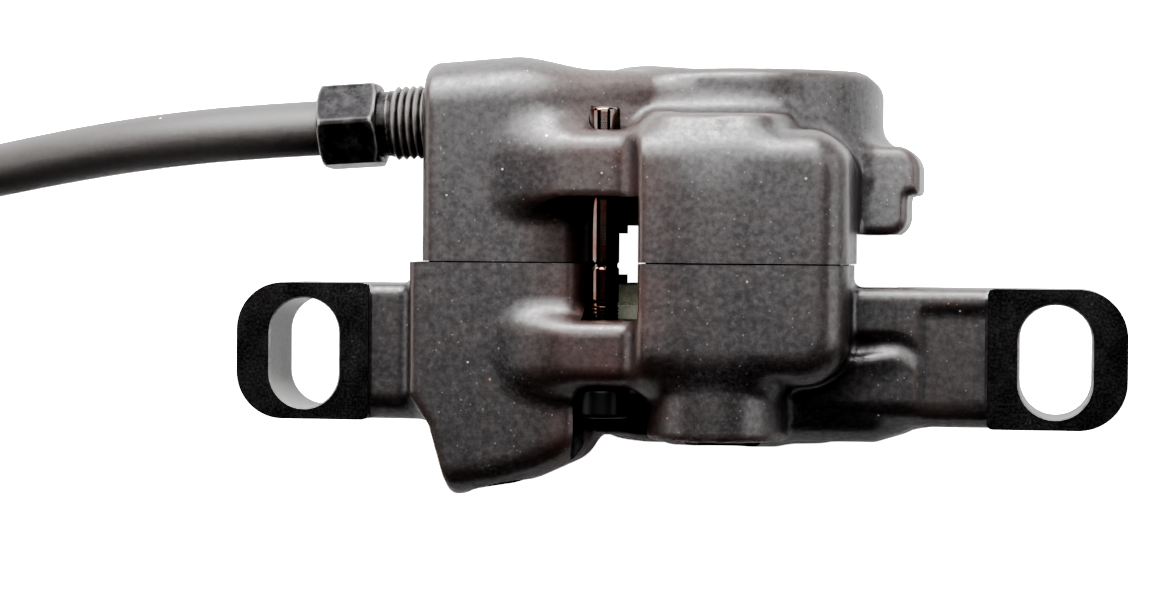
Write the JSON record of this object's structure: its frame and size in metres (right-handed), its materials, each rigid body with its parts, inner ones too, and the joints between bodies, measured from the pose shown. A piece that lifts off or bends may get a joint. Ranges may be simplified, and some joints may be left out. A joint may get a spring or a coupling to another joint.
{
  "type": "disc brake caliper",
  "caption": "Split hydraulic disc brake caliper in black, with slotted post-mount ears, an open pad window crossed by a bright pin, and a hose on a hex fitting.",
  "frame": {"origin": "midway between the two mounting slots, on the face that sits on the fork or frame posts", "axes": "+X along the line of the slots, away from the hose; +Y along the wheel's axle, towards the half that takes the hose; +Z away from the posts, towards the heads of the mounting bolts"},
  "size_m": [0.197, 0.086, 0.037],
  "materials": {
    "black_casting": "satin black coat on a forged aluminium half, ear pads machined",
    "black_steel": "black plated steel",
    "seal_rubber": "matt black rubber",
    "piston_metal": "turned and clear anodised",
    "magnet": "nickel plated",
    "pad_steel": "stamped steel plate, olive-grey coat",
    "pad_lining": "resin friction compound with metal grains",
    "pin_steel": "polished stainless steel",
    "zinc_steel": "zinc plated steel",
    "olive_brass": "turned brass",
    "hose_jacket": "smooth black nylon jacket with a dull sheen",
    "tie_plastic": "black strap"
  },
  "bodies": {
    "caliper_body": {"mount_body_half": "black_casting", "hose_body_half": "black_casting", "body_bolts": "black_steel", "crossover_seal": "seal_rubber", "upper_piston_seal": "seal_rubber", "lower_piston_seal": "seal_rubber", "pad_pin": "pin_steel", "hose_nut": "black_steel", "hose_olive": "olive_brass", "hose_insert": "zinc_steel", "brake_hose": "hose_jacket", "hose_coil": "hose_jacket", "coil_tie": "tie_plastic", "lever_nut": "black_steel", "lever_olive": "olive_brass", "lever_insert": "zinc_steel", "lever_boot": "seal_rubber"},
    "upper_piston_set": {"upper_piston": "piston_metal", "upper_magnet": "magnet", "upper_pad_plate": "pad_steel", "upper_pad_lining": "pad_lining"},
    "lower_piston_set": {"lower_piston": "piston_metal", "lower_magnet": "magnet", "lower_pad_plate": "pad_steel", "lower_pad_lining": "pad_lining"},
    "bleed_valve": {"bleed_screw": "zinc_steel", "bleed_cap": "seal_rubber"}
  },
  "joints": [
    {"name": "upper_piston_slide", "type": "slide", "parent": "caliper_body", "child": "upper_piston_set", "axis": [0, -1, 0], "range_m": [0, 0.0021]},
    {"name": "lower_piston_slide", "type": "slide", "parent": "caliper_body", "child": "lower_piston_set", "axis": [0, 1, 0], "range_m": [0, 0.0021]},
    {"name": "bleed_turn", "type": "hinge", "parent": "caliper_body", "child": "bleed_valve", "pos_m": [-0.0162, 0.02315, -0.004], "axis": [0, 0, -1], "range_deg": [0, 180]}
  ],
  "couplings": [
    {"joint": "lower_piston_slide", "follows": "upper_piston_slide", "ratio": 1}
  ]
}
